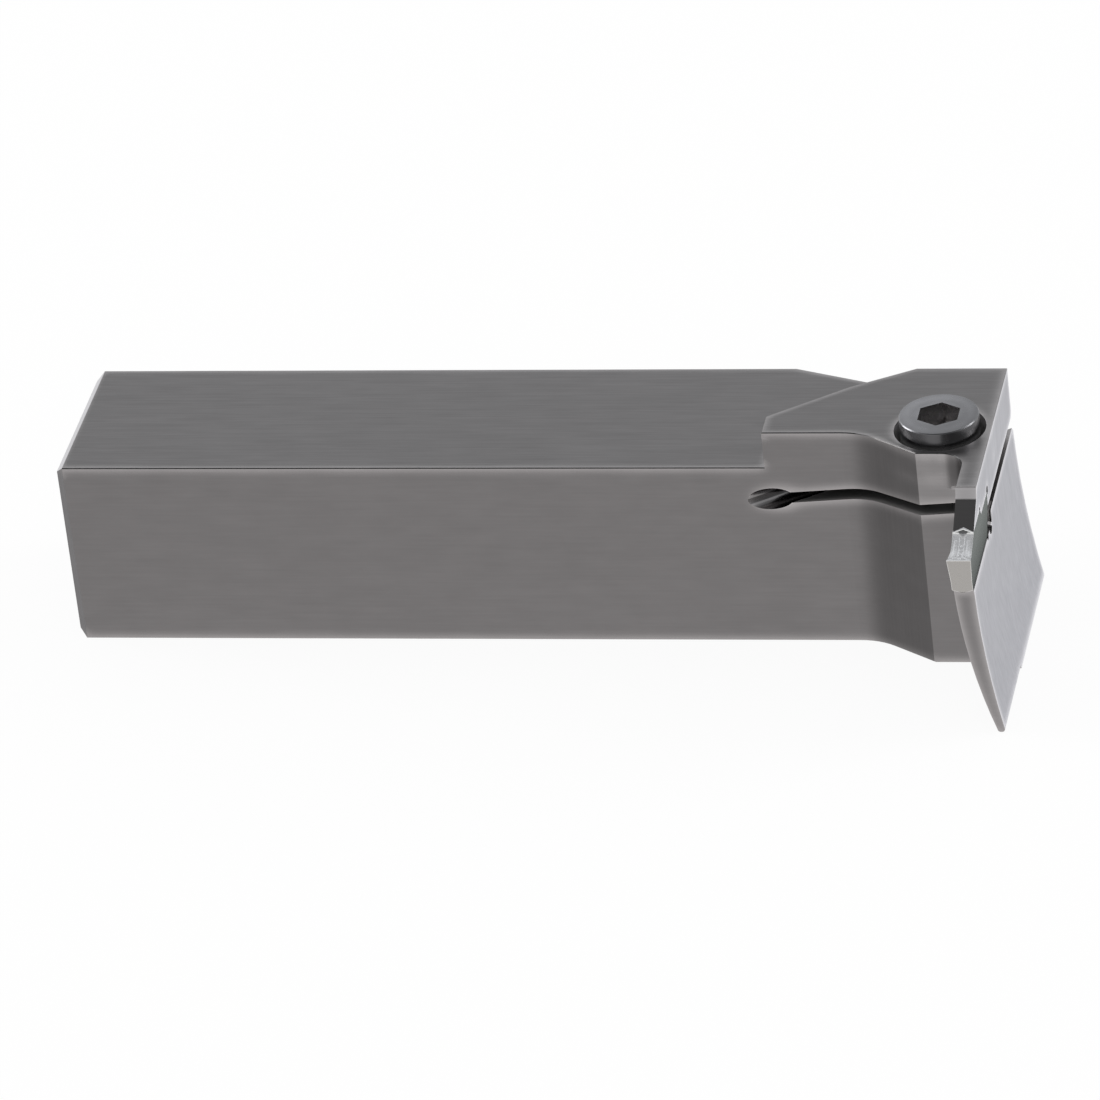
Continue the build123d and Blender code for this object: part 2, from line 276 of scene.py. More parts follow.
def selectVerts(piece, test):
    bpy.ops.mesh.select_mode(type='VERT')
    bpy.ops.mesh.select_all(action='DESELECT')
    mesh = bmesh.from_edit_mesh(piece.data)
    for vert in mesh.verts:
        vert.select = test(vert)
    mesh.select_flush_mode()
    bmesh.update_edit_mesh(piece.data)


def selectFaces(piece, test):
    bpy.ops.mesh.select_mode(type='FACE')
    bpy.ops.mesh.select_all(action='DESELECT')
    mesh = bmesh.from_edit_mesh(piece.data)
    for face in mesh.faces:
        face.select = test(face.calc_center_median())
    mesh.select_flush_mode()
    bmesh.update_edit_mesh(piece.data)


def turnFacesOut():
    bpy.ops.mesh.select_all(action='SELECT')
    bpy.ops.mesh.normals_make_consistent(inside=False)


def settle(piece, name):
    # the place goes into the mesh, so the finished piece stands at the origin
    piece.name = name
    pick(piece)
    bpy.ops.object.transform_apply(location=True, rotation=True, scale=True)


# holder body: hardened steel, milled on the shank and ground on the right-hand face, with painted light and
# shade in its colour
# a key that ends in Facing holds two limits of one part of the normal, between which a finish fades

holderSettings = {
    "milledColour": (0.190, 0.184, 0.184),
    "roughness": (0.38, 0.30),                       # in the dark streaks and in the pale ones
    "bumpDistance": 0.00001,
    "bumpStrength": 0.25,
    "grainAlongShank": (130, 3800, 3800),
    "grainUpright": (3800, 3800, 80),
    "grainContrast": 0.05,
    "endFacing": (0.35, 0.5),
    "clearFacing": (0.5, 0.7),                       # past it the streaks are clear
    "faintGrain": 0.45,
    "cloudStretch": (190, 420, 420),
    "cloudShade": (0.97, 1.03),
    # painted highlight: the right-hand face is painted bright
    "groundSheenColour": (0.34, 0.35, 0.385),
    "groundSheenFacing": (0.75, 0.9),
    "edgeHighlightColour": (0.52, 0.50, 0.50),
    "groundEdgeHighlightColour": (0.95, 0.95, 0.98),
    "edgeRadius": 0.0022,                            # painted soft highlight beside each edge
    "edgeStrength": 0.58,
    "edgeSpread": 0.65,
    "lineRadius": 0.00028,                           # thin painted highlight line on it
    "lineStrength": 0.6,
    "lineSpread": 1.2,
    "rearChamferColour": (0.72, 0.72, 0.74),
    "rearReach": (0.0009, 0.00105),
    "rearFacing": (0.2, 0.5),
    "rearFaint": 0.25,
    # painted shade: the walls of the slit are painted darker than the shank
    "slitShadeColour": (0.115, 0.113, 0.113),
    "slitSlope": 0.06905,
    "slitLevel": 0.001738,                           # height of the slit's middle at x = 0
    "slitHalfHeight": 0.00078,
    "slitReach": 0.1165,
    "slitWall": 0.9,                                 # how level a wall of the slit is at least
    "slitDullness": 0.75,
    "dullMetallic": 0.2,
    # painted light: the walls of the counterbore are painted paler than the shank
    "boreLightColour": (0.42, 0.41, 0.41),
    "screwAxis": (0.11325, -0.0114, 0.0),
    "counterboreReach": 0.0058,
    "headTop": 0.01738,
    "boreFloor": 0.012,
    "reamedColour": (0.17, 0.165, 0.165),
    "reamedRoughness": 0.2,
    "reliefShadeHeights": (-0.0006, 0.00005),             # painted shade: dark streak along the relief
    "reliefShadeFade": 0.0001,
    "reliefShadeLevel": 0.2,
    "rootPoint": (0.09145, -0.0125, 0.008053),       # the relief's axis
    "rootDirection": (0.85513, 0.51504, 0.05904),
    "rootReach": 0.00153,
    "easedShadeColour": (0.05, 0.05, 0.05),
    "easedLean": (0.3, 0.44),                        # how far an eased edge leans
    "easedRight": 0.25,                              # edges that look further right aren't eased
    "frontFacing": (-0.69, -0.66),
    "frontLean": (0.55, 0.65),
    "curveLow": (0.1135, -0.0225, 0.01735),          # the eased edge of the finger's fillet
    "curveHigh": (0.1172, -0.0174, 0.0176),
    "curveFacing": (0.9, 0.95),
    "noseHighlightColour": (0.34, 0.325, 0.325),
    "noseEdgeHighlightColour": (0.40, 0.385, 0.385),
    "noseEdgeRoughness": 0.8,
    "noseY": -0.02565,
    "noseZ": 0.0162,
    "noseFacing": (0.5, 0.6),
    # painted shade: the recess behind the insert is painted dark
    "recessShadeColour": (0.13, 0.128, 0.128),
    "recessLow": (0.1166, -0.0215, 0.0060),
    "recessHigh": (0.1195, -0.0150, 0.0112),
    # painted shade: the web beside the insert is painted dark
    "webShadeColour": (0.13, 0.125, 0.125),
    "webLow": (0.1195, -0.0200, 0.0079),
    "webHigh": (0.1198, -0.0172, 0.0102),
    # painted highlight on the short pad above the slit
    "padHighlightColour": (0.245, 0.238, 0.238),
    "padLow": (0.1085, -0.0178, 0.0090),
    "padHigh": (0.1160, -0.0174, 0.0174),
    "padFacing": (-0.99, -0.95),
    "padFade": 0.002,
}


def boreMasks(tree, place, position, facing, s):
    # 1 on the walls of the slit, in the counterbore and in the round relief, then the height in the relief
    tilt = addMath(tree, 'MULTIPLY', position[0], s["slitSlope"])
    level = addMath(tree, 'SUBTRACT', addMath(tree, 'SUBTRACT', position[2], tilt), s["slitLevel"])
    inSlit = allOf(tree, isBelow(tree, sizeOf(tree, level), s["slitHalfHeight"]),
                   isAbove(tree, sizeOf(tree, facing[2]), s["slitWall"]),
                   isBelow(tree, position[0], s["slitReach"]))
    fromScrew = addVectorMath(tree, 'SUBTRACT', place, s["screwAxis"])
    inBore = allOf(tree, isBelow(tree, levelLength(tree, fromScrew), s["counterboreReach"]),
                   isBelow(tree, position[2], s["headTop"]),
                   isAbove(tree, position[2], s["boreFloor"]))
    fromRoot = addVectorMath(tree, 'SUBTRACT', place, s["rootPoint"])
    offAxis = addVectorMath(tree, 'CROSS_PRODUCT', fromRoot, s["rootDirection"])
    inRoot = isBelow(tree, addVectorMath(tree, 'LENGTH', offAxis), s["rootReach"])
    along = Vector(s["rootDirection"])
    upward = Vector((0, 0, 1)) - along * along.z
    height = addVectorMath(tree, 'DOT_PRODUCT', fromRoot, tuple(upward.normalized()))
    return inSlit, inBore, inRoot, height


def makeHolderSteel(s):
    material, shader = newMaterial("milledHolderSteel", s["milledColour"], metallic=1.0, roughness=0.35)
    tree = material.node_tree
    coordinates = tree.nodes.new("ShaderNodeTexCoord")
    place = coordinates.outputs["Object"]
    normal = coordinates.outputs["Normal"]
    position = splitVector(tree, place)
    facing = splitVector(tree, normal)
    # milling streaks over slow clouding, upright on the ends and fainter on the front and the back
    across = sizeOf(tree, facing[0])
    onEnd = risesOver(tree, across, s["endFacing"], smooth=True)
    grain = addValueMix(tree, onEnd, addNoise(tree, place, s["grainAlongShank"]),
                        addNoise(tree, place, s["grainUpright"]))
    clear = risesOver(tree, anyOf(tree, sizeOf(tree, facing[2]), across), s["clearFacing"])
    share = addRange(tree, clear, 0.0, 1.0, s["faintGrain"], 1.0)
    grain = addValueMix(tree, share, noiseMiddle, grain)
    cloud = addNoise(tree, place, s["cloudStretch"], detail=2.0)
    streaks = spreadNoise(tree, grain, 1.0 - s["grainContrast"], 1.0 + s["grainContrast"])
    shade = addMath(tree, 'MULTIPLY', streaks, spreadNoise(tree, cloud, *s["cloudShade"]))
    # painted highlight: the right-hand face is ground and also painted bright for the light it catches
    groundSheen = risesOver(tree, facing[0], s["groundSheenFacing"], smooth=True)
    # the chamfer at the rear end is paler, most where it turns upward
    rear = allOf(tree, fallsOver(tree, position[0], s["rearReach"]),
                 addRange(tree, facing[2], *s["rearFacing"], s["rearFaint"], 1.0))
    # the counterbore, the recess behind the insert and partly the slit are dull
    inSlit, inBore, inRoot, height = boreMasks(tree, place, position, facing, s)
    inRecess = boxMask(tree, position, s["recessLow"], s["recessHigh"])
    dull = anyOf(tree, inBore, inRecess, addMath(tree, 'MULTIPLY', inSlit, s["slitDullness"]))
    tree.links.new(addRange(tree, dull, 0.0, 1.0, 1.0, s["dullMetallic"]), shader.inputs["Metallic"])
    # painted highlight: the short pad above the slit is painted bright
    padFoot = s["padLow"][2]
    padHighlight = allOf(tree, boxMask(tree, position, s["padLow"], s["padHigh"]),
                  fallsOver(tree, facing[1], s["padFacing"]),
                  risesOver(tree, position[2], (padFoot, padFoot + s["padFade"]), smooth=True))
    # painted shade: a dark streak runs along the reamed relief
    low, high = s["reliefShadeHeights"]
    fade = s["reliefShadeFade"]
    reliefShade = allOf(tree, risesOver(tree, height, (low - fade, low), smooth=True),
                       fallsOver(tree, height, (high, high + fade), smooth=True))
    reliefShadeColour = tuple(s["reliefShadeLevel"] * c for c in s["reamedColour"])
    reamed = addColourMix(tree, reliefShade, s["reamedColour"], reliefShadeColour)
    # painted highlights on the edges, but not on the eased ones between top and front, nor on the web
    # beside the insert
    eased = allOf(tree, levelLength(tree, normal), facing[2], isBelow(tree, facing[0], s["easedRight"]))
    onWeb = boxMask(tree, position, s["webLow"], s["webHigh"])
    highlightAllowed = allOf(tree, fallsOver(tree, eased, s["easedLean"], smooth=True), outside(tree, onWeb))
    # painted shade: the eased edges between top and front and on the finger's fillet are painted dark
    easedFront = allOf(tree, fallsOver(tree, facing[1], s["frontFacing"]), facing[2])
    easedFront = risesOver(tree, easedFront, s["frontLean"])
    onCurve = allOf(tree, boxMask(tree, position, s["curveLow"], s["curveHigh"]),
                    fallsOver(tree, facing[2], s["curveFacing"]))
    onBlade = isAbove(tree, position[0], s["slitReach"])
    edgeHighlights = edgeMask(tree, s["edgeRadius"], s["edgeStrength"], s["edgeSpread"], onBlade)
    lineHighlights = edgeMask(tree, s["lineRadius"], s["lineStrength"], s["lineSpread"], onBlade)
    edgeHighlightTone = addColourMix(tree, groundSheen, s["edgeHighlightColour"], s["groundEdgeHighlightColour"])
    # painted highlight: the slope of the nose and its edge are painted paler than the shank
    onNose = allOf(tree, isBelow(tree, position[1], s["noseY"]), isAbove(tree, position[2], s["noseZ"]))
    noseEdge = allOf(tree, onNose, risesOver(tree, facing[2], s["noseFacing"]))
    tone = paintOver(tree, s["milledColour"],
                     (groundSheen, s["groundSheenColour"]),
                     (rear, s["rearChamferColour"]),
                     (inSlit, s["slitShadeColour"]),
                     (inBore, s["boreLightColour"]),
                     (inRecess, s["recessShadeColour"]),
                     (padHighlight, s["padHighlightColour"]),
                     (inRoot, reamed),
                     (anyOf(tree, easedFront, onCurve), s["easedShadeColour"]),
                     (onNose, s["noseHighlightColour"]),
                     (noseEdge, s["noseEdgeHighlightColour"]),
                     (onWeb, s["webShadeColour"]),
                     (allOf(tree, edgeHighlights, highlightAllowed), edgeHighlightTone),
                     (allOf(tree, lineHighlights, highlightAllowed), edgeHighlightTone))
    tree.links.new(shadeTone(tree, tone, shade), shader.inputs["Base Color"])
    roughness = spreadNoise(tree, grain, *s["roughness"])
    roughness = addValueMix(tree, inRoot, roughness, s["reamedRoughness"])
    roughness = addValueMix(tree, noseEdge, roughness, s["noseEdgeRoughness"])
    tree.links.new(roughness, shader.inputs["Roughness"])
    addBump(tree, shader, grain, s["bumpDistance"], s["bumpStrength"])
    return material


dress(nodes["holder_body"], makeHolderSteel(holderSettings))
print("holder steel made")


# clamp screw: dark steel with painted reflection, light and shade, with its real thread

screwSettings = {
    "axis": (0.11325, -0.0114),
    "top": 0.0195,
    "roundCorners": 96,                              # divides by 6 for the socket and by 4 for the point
    "headRadius": 0.005,
    "headHeight": 0.006,
    "rimBevel": 0.00012,
    "socketCorner": 0.0028868,
    "socketDepth": 0.0032,
    "socketPoint": 0.0015,
    "length": 0.016,
    "pointTaper": 0.0006,
    "threadCrest": 0.00297,
    "threadRoot": 0.00244,
    "crestFlat": 0.125,                              # share of the pitch that the crest is wide
    "pitch": 0.001,
    "turns": 15,
    "turnSteps": 48,
    "threadMerge": 0.00001,
    "pickRoom": 0.0001,                              # points this near a ring are picked with it
    "pointShrink": 0.02,
    "smoothAngle": 30,
    "colour": (0.225, 0.225, 0.235),
    "roughness": (0.2, 0.3),
    "cloudStretch": (500, 500, 500),
    "cloudShade": (0.9, 1.1),
    "sheenSlope": (-36.0, 36.0, 0.0),
    "ringScale": 196.0,                              # turning rings about 0.16 mm apart
    "ringDistortion": 0.6,
    "ringShade": (0.95, 1.05),
    "bumpDistance": 0.000003,
    "bumpStrength": 0.3,
    "edgeHighlightColour": (0.31, 0.31, 0.32),
    "edgeRadius": 0.00016,
    "edgeStrength": 0.8,
    "edgeSpread": 0.5,
    # painted shade on the side of the head
    "sideColour": (0.13, 0.13, 0.135),
    "sideFacing": (0.4, 0.6),
    "sunkLightColour": (0.40, 0.395, 0.395),              # painted light on the side of the head inside the counterbore
    "sunkDepths": (0.0032, 0.0018),
    "sunkMetallic": 0.2,
    "socketLightColour": (0.42, 0.41, 0.41),
    "socketMargin": 1.01,
    "socketLip": 0.00002,                            # the painted light in the socket starts this far under the top
}


def makeScrewSteel(s):
    material, shader = newMaterial("darkScrewSteel", s["colour"], metallic=1.0, roughness=0.22)
    tree = material.node_tree
    coordinates = tree.nodes.new("ShaderNodeTexCoord")
    place = coordinates.outputs["Object"]
    height = splitVector(tree, place)[2]
    centred = addVectorMath(tree, 'SUBTRACT', place, (*s["axis"], 0.0))
    rings = tree.nodes.new("ShaderNodeTexWave")
    rings.wave_type = 'RINGS'
    rings.rings_direction = 'Z'
    rings.inputs["Scale"].default_value = s["ringScale"]
    rings.inputs["Distortion"].default_value = s["ringDistortion"]
    tree.links.new(centred, rings.inputs["Vector"])
    cloud = addNoise(tree, place, s["cloudStretch"])
    shade = addMath(tree, 'MULTIPLY', addRange(tree, rings.outputs["Fac"], 0.0, 1.0, *s["ringShade"]),
                    spreadNoise(tree, cloud, *s["cloudShade"]))
    # painted reflection: the screw is lighter towards the left and towards the rear of the head
    paintedSheen = addVectorMath(tree, 'DOT_PRODUCT', centred, s["sheenSlope"])
    shade = addMath(tree, 'MULTIPLY', shade, addMath(tree, 'ADD', paintedSheen, 1.0))
    # painted light inside the socket and low on the side of the head, where it is also dull; painted shade
    # higher on the side
    inSocket = allOf(tree, isBelow(tree, levelLength(tree, centred), s["socketCorner"] * s["socketMargin"]),
                     isBelow(tree, height, s["top"] - s["socketLip"]))
    upward = sizeOf(tree, splitVector(tree, coordinates.outputs["Normal"])[2])
    onSide = fallsOver(tree, upward, s["sideFacing"])
    sunk = fallsOver(tree, height, [s["top"] - depth for depth in s["sunkDepths"]])
    dull = allOf(tree, onSide, sunk, outside(tree, inSocket))
    tree.links.new(addRange(tree, dull, 0.0, 1.0, 1.0, s["sunkMetallic"]), shader.inputs["Metallic"])
    # painted highlight on the screw's edges
    edgeHighlights = edgeMask(tree, s["edgeRadius"], s["edgeStrength"], s["edgeSpread"])
    tone = paintOver(tree, s["colour"],
                     (onSide, addColourMix(tree, sunk, s["sideColour"], s["sunkLightColour"])),
                     (inSocket, s["socketLightColour"]),
                     (edgeHighlights, s["edgeHighlightColour"]))
    tree.links.new(shadeTone(tree, tone, shade), shader.inputs["Base Color"])
    tree.links.new(spreadNoise(tree, cloud, *s["roughness"]), shader.inputs["Roughness"])
    addBump(tree, shader, rings.outputs["Fac"], s["bumpDistance"], s["bumpStrength"])
    return material


def makeThread(s):
    # one pitch of the thread's section, wound round the screw's axis
    foot = s["top"] - s["headHeight"] - s["length"]
    bpy.ops.mesh.primitive_plane_add(size=s["pitch"], location=(*s["axis"], foot + s["pitch"]))
    thread = bpy.context.object
    startEdit(thread)
    bpy.ops.mesh.select_all(action='SELECT')
    bpy.ops.transform.rotate(value=math.pi / 2, orient_axis='X', center_override=thread.location)
    depth = s["threadCrest"] - s["threadRoot"]
    halfway = s["threadRoot"] + depth / 2
    bpy.ops.transform.resize(value=(depth / s["pitch"], 1, 1), center_override=thread.location)
    bpy.ops.transform.translate(value=(halfway, 0, 0))
    bpy.ops.mesh.delete(type='ONLY_FACE')
    selectVerts(thread, lambda vert: vert.co.x > halfway)
    bpy.ops.transform.resize(value=(1, 1, s["crestFlat"]), center_override=thread.location)
    selectVerts(thread, lambda vert: vert.co.x < halfway)
    bpy.ops.mesh.select_mode(type='EDGE')
    bpy.ops.mesh.delete(type='EDGE')
    endEdit()
    winding = thread.modifiers.new("winding", 'SCREW')
    winding.axis = 'Z'
    winding.screw_offset = s["pitch"]
    winding.iterations = s["turns"]
    winding.steps = s["turnSteps"]
    winding.render_steps = s["turnSteps"]
    winding.use_merge_vertices = True
    winding.merge_threshold = s["threadMerge"]
    bpy.ops.object.modifier_apply(modifier="winding")
    settle(thread, "clampThread")
    return thread


def makeClampScrew(s):
    pivot = (*s["axis"], s["top"])
    rim = s["headRadius"] - s["rimBevel"]
    bpy.ops.mesh.primitive_circle_add(vertices=s["roundCorners"], radius=rim, location=pivot)
    screw = bpy.context.object
    startEdit(screw)
    bpy.ops.mesh.primitive_circle_add(vertices=6, radius=s["socketCorner"], location=pivot)
    bpy.ops.mesh.subdivide(number_cuts=s["roundCorners"] // 6 - 1)
    bpy.ops.mesh.select_all(action='SELECT')
    bpy.ops.mesh.bridge_edge_loops()

    def growEdge(scale, drop):
        bpy.ops.mesh.extrude_edges_move(TRANSFORM_OT_translate={"value": (0, 0, -drop)})
        bpy.ops.transform.resize(value=(scale, scale, 1), center_override=pivot)

    # rim, side and underside of the head, then the core of the shank down to its point
    selectVerts(screw, lambda vert: vert.co.xy.length > rim - s["pickRoom"])
    growEdge(s["headRadius"] / rim, s["rimBevel"])
    growEdge(1.0, s["headHeight"] - 2 * s["rimBevel"])
    growEdge(rim / s["headRadius"], s["rimBevel"])
    growEdge(s["threadRoot"] / rim, 0.0)
    growEdge(1.0, s["length"] - s["pointTaper"])
    growEdge(1.0 - s["pointTaper"] / s["threadRoot"], s["pointTaper"])
    bpy.ops.mesh.fill_grid(span=s["roundCorners"] // 4)
    # hexagon socket, with the drilled point at its bottom drawn nearly together and merged
    reach = s["socketCorner"] + s["pickRoom"]
    selectVerts(screw, lambda vert: vert.co.xy.length < reach and vert.co.z > -s["pickRoom"])
    growEdge(1.0, s["socketDepth"])
    growEdge(s["pointShrink"], s["socketPoint"])
    bpy.ops.mesh.merge(type='CENTER')
    turnFacesOut()
    endEdit()
    settle(screw, "clampScrew")
    pick(screw, makeThread(s))
    bpy.ops.object.join()
    startEdit(screw)
    turnFacesOut()
    endEdit()
    bpy.ops.object.shade_smooth_by_angle(angle=math.radians(s["smoothAngle"]))
    dress(screw, makeScrewSteel(s))
    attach(screw, "screw")
    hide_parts("clamp_screw")


makeClampScrew(screwSettings)
print("clamp screw made")


# cutting insert: ground carbide, with the pressed chip former on its top

insertSettings = {
    "middle": 0.11835,                               # x of the blade's middle
    "edgeY": -0.0350,                                # y and z of the cutting edge
    "edgeZ": 0.0125,
    "headHalf": 0.00149,
    "neckHalf": 0.001295,
    "neckSetback": 0.0025,
    "ridgeSetback": 0.0051,
    "ridgeHeight": 0.0015,
    "facetAngle": 50.0,
    "formerCells": (56, 84),
    "formerStart": 0.003,                            # height above the edge before it is laid down
    "formerMissed": 0.0025,                          # what is still higher than this found no insert
    "formerLift": 0.000012,
    "facetGap": 0.00003,
    "cutReach": 0.0000002,
    "smoothAngle": 40,
    "raisedLines": (                                 # start, end, points on it, height, reach
        ((0.00085, 0.0014), (0.000765, 0.0038), 120, 0.00009, 0.00036),      # lobe at the side
        ((0.000264, 0.0016), (0.00033, 0.0044), 160, 0.00006, 0.00016),      # lip of the channel
        ((0.00010, 0.0015), (0.00112, 0.00035), 120, 0.00008, 0.00018),      # ridge to the corner
    ),
    "dotSetbacks": (0.0016, 0.0024, 0.00315),
    "dotSize": 0.00024,
    "dotHeight": 0.00013,
    "specularTint": (0.3, 0.32, 0.31),
    "roughness": (0.24, 0.34),
    "grainStretch": (2500, 2500, 2500),
    "grainShade": (0.97, 1.03),
    "bumpDistance": 0.000004,
    "bumpStrength": 0.3,
    "topColour": (0.585, 0.59, 0.605),
    "topMetallic": 0.4,
    "crestHighlightColour": (0.88, 0.89, 0.91),
    "crestPointiness": (0.46, 0.56),
    "formerMetallic": 0.55,
    "sideColour": (0.40, 0.415, 0.412),
    "sideLowColour": (0.17, 0.175, 0.175),
    "sideHeights": (-0.0055, -0.0005),
    "sideFacing": (0.7, 0.85),
    "flankColour": (0.395, 0.385, 0.368),
    "flankFacing": (-0.9, -0.8),
    "edgeHighlightColour": (0.95, 0.95, 0.94),
    "edgeRadius": 0.00011,
    "edgeStrength": 1.0,
    "edgeSpread": 0.5,
    "facetShadeColour": (0.20, 0.20, 0.20),
    "footColour": (0.585, 0.59, 0.605),
    "facetFrontFacing": (-0.7, -0.6),
    "facetUpFacing": (0.3, 0.4),
    "roofSlope": 0.2867,
    "notchHeight": 0.00068,
    "notchSlope": 0.643,
    "shelfHeight": 0.00105,
    "roofRim": 0.00007,
    "notchRim": 0.0001,
    "rimFoot": 0.0003,
    "rimMetallic": 0.2,
}


def groundFinish(tree, shader, coordinates, s):
    # pale top, sides that darken downwards, flank under the cutting edge and painted highlights on the
    # edges
    position = splitVector(tree, coordinates.outputs["Object"])
    facing = splitVector(tree, coordinates.outputs["Normal"])
    height = addMath(tree, 'SUBTRACT', position[2], s["edgeZ"])
    side = risesOver(tree, sizeOf(tree, facing[0]), s["sideFacing"])
    high = risesOver(tree, height, s["sideHeights"])
    sideTone = addColourMix(tree, high, s["sideLowColour"], s["sideColour"])
    flank = fallsOver(tree, facing[1], s["flankFacing"])
    edgeHighlights = edgeMask(tree, s["edgeRadius"], s["edgeStrength"], s["edgeSpread"])
    # painted shade on the kite-shaped facet in front of the clamping land, its foot, and painted highlights
    # on the rims round it
    offset = sizeOf(tree, addMath(tree, 'SUBTRACT', position[0], s["middle"]))
    roof = addMath(tree, 'SUBTRACT', s["ridgeHeight"], addMath(tree, 'MULTIPLY', offset, s["roofSlope"]))
    notch = addMath(tree, 'ADD', s["notchHeight"], addMath(tree, 'MULTIPLY', offset, s["notchSlope"]))
    notch = addMath(tree, 'MINIMUM', notch, s["shelfHeight"])
    onFacet = allOf(tree, fallsOver(tree, facing[1], s["facetFrontFacing"]),
                    risesOver(tree, facing[2], s["facetUpFacing"]))
    kite = allOf(tree, onFacet, isAbove(tree, height, notch))
    foot = allOf(tree, onFacet, isBelow(tree, height, notch))
    nearRoof = isBelow(tree, addMath(tree, 'SUBTRACT', roof, height), s["roofRim"])
    nearNotch = isBelow(tree, sizeOf(tree, addMath(tree, 'SUBTRACT', height, notch)), s["notchRim"])
    rim = allOf(tree, anyOf(tree, nearRoof, nearNotch), onFacet, isAbove(tree, height, s["rimFoot"]))
    metallic = addRange(tree, anyOf(tree, side, flank, kite), 0.0, 1.0, s["topMetallic"], 1.0)
    tree.links.new(addValueMix(tree, rim, metallic, s["rimMetallic"]), shader.inputs["Metallic"])
    return paintOver(tree, s["topColour"],
                     (side, sideTone),
                     (flank, s["flankColour"]),
                     (allOf(tree, edgeHighlights, outside(tree, side)), s["edgeHighlightColour"]),
                     (kite, s["facetShadeColour"]),
                     (foot, s["footColour"]),
                     (rim, s["edgeHighlightColour"]))


def makeCarbide(name, s, former):
    material, shader = newMaterial(name, s["topColour"], metallic=1.0, roughness=0.3)
    shader.inputs["Specular Tint"].default_value = (*s["specularTint"], 1)
    tree = material.node_tree
    coordinates = tree.nodes.new("ShaderNodeTexCoord")
    if former:
        # painted highlight: ridges are painted bright, hollows keep the top's tone
        pointiness = tree.nodes.new("ShaderNodeNewGeometry").outputs["Pointiness"]
        crestHighlight = risesOver(tree, pointiness, s["crestPointiness"])
        tone = addColourMix(tree, crestHighlight, s["topColour"], s["crestHighlightColour"])
        shader.inputs["Metallic"].default_value = s["formerMetallic"]
    else:
        tone = groundFinish(tree, shader, coordinates, s)
    grain = addNoise(tree, coordinates.outputs["Object"], s["grainStretch"])
    shade = spreadNoise(tree, grain, *s["grainShade"])
    tree.links.new(shadeTone(tree, tone, shade), shader.inputs["Base Color"])
    tree.links.new(spreadNoise(tree, grain, *s["roughness"]), shader.inputs["Roughness"])
    addBump(tree, shader, grain, s["bumpDistance"], s["bumpStrength"])
    return material


def makeChipFormer(s):
    # a fine sheet laid over the chip groove, trimmed to it and raised into ridges and dots
    middle, edgeY, edgeZ = s["middle"], s["edgeY"], s["edgeZ"]
    reach = s["ridgeSetback"]
    columns, rows = s["formerCells"]
    bpy.ops.mesh.primitive_grid_add(x_subdivisions=columns, y_subdivisions=rows, size=1.0,
                                    location=(middle, edgeY + reach / 2, edgeZ + s["formerStart"]))
    former = bpy.context.object
    bpy.ops.transform.resize(value=(2 * s["headHalf"], reach, 1), center_override=former.location)
    settle(former, "chipFormer")

    def cut(point, outward, clear=True):
        bpy.ops.mesh.bisect(plane_co=point, plane_no=outward, clear_outer=clear, threshold=s["cutReach"])

    startEdit(former)
    slope = (s["headHalf"] - s["neckHalf"]) / s["neckSetback"]
    neckY = edgeY + s["neckSetback"]
    selectFaces(former, lambda centre: True)
    cut((middle, neckY, 0), (0, 1, 0), clear=False)
    for hand in (-1, 1):
        selectFaces(former, lambda centre: centre.y < neckY)
        cut((middle + hand * s["headHalf"], edgeY, 0), (hand, slope, 0))
        selectFaces(former, lambda centre: centre.y > neckY)
        cut((middle + hand * s["neckHalf"], neckY, 0), (hand, 0, 0))
    endEdit()
    wrap = former.modifiers.new("wrap", 'SHRINKWRAP')
    wrap.target = nodes["cutting_insert"]
    wrap.wrap_method = 'PROJECT'
    wrap.use_project_z = True
    wrap.use_negative_direction = True
    wrap.use_positive_direction = False
    wrap.offset = s["formerLift"]
    bpy.ops.object.modifier_apply(modifier="wrap")
    # it ends at the foot of the facet
    startEdit(former)
    facet = math.tan(math.radians(s["facetAngle"]))
    selectFaces(former, lambda centre: True)
    cut((middle, edgeY + reach - s["facetGap"], edgeZ + s["ridgeHeight"]), (0, facet, -1))
    selectVerts(former, lambda vert: vert.co.z > edgeZ + s["formerMissed"])
    bpy.ops.mesh.delete(type='VERT')

    def raiseSpots(spots, height, size, falloff='SMOOTH'):
        verts = bmesh.from_edit_mesh(former.data).verts
        near = set()
        for u, w in spots:
            x, y = middle + u, edgeY + w
            near.add(min(verts, key=lambda vert: (vert.co.x - x) ** 2 + (vert.co.y - y) ** 2).index)
        selectVerts(former, lambda vert: vert.index in near)
        bpy.ops.transform.translate(value=(0, 0, height), use_proportional_edit=True,
                                    proportional_edit_falloff=falloff, proportional_size=size)

    def alongLine(start, end, count):
        return [(start[0] + (end[0] - start[0]) * i / count, start[1] + (end[1] - start[1]) * i / count)
                for i in range(count + 1)]

    for hand in (-1, 1):
        for start, end, count, height, size in s["raisedLines"]:
            spots = alongLine((hand * start[0], start[1]), (hand * end[0], end[1]), count)
            raiseSpots(spots, height, size)
    for setback in s["dotSetbacks"]:
        raiseSpots([(0.0, setback)], s["dotHeight"], s["dotSize"], 'SPHERE')
    turnFacesOut()
    endEdit()
    bpy.ops.object.shade_smooth_by_angle(angle=math.radians(s["smoothAngle"]))
    dress(former, makeCarbide("pressedCarbide", s, former=True))
    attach(former, "insert")


dress(nodes["cutting_insert"], makeCarbide("groundCarbide", insertSettings, former=False))
makeChipFormer(insertSettings)
print("insert made")


# floor, light and camera

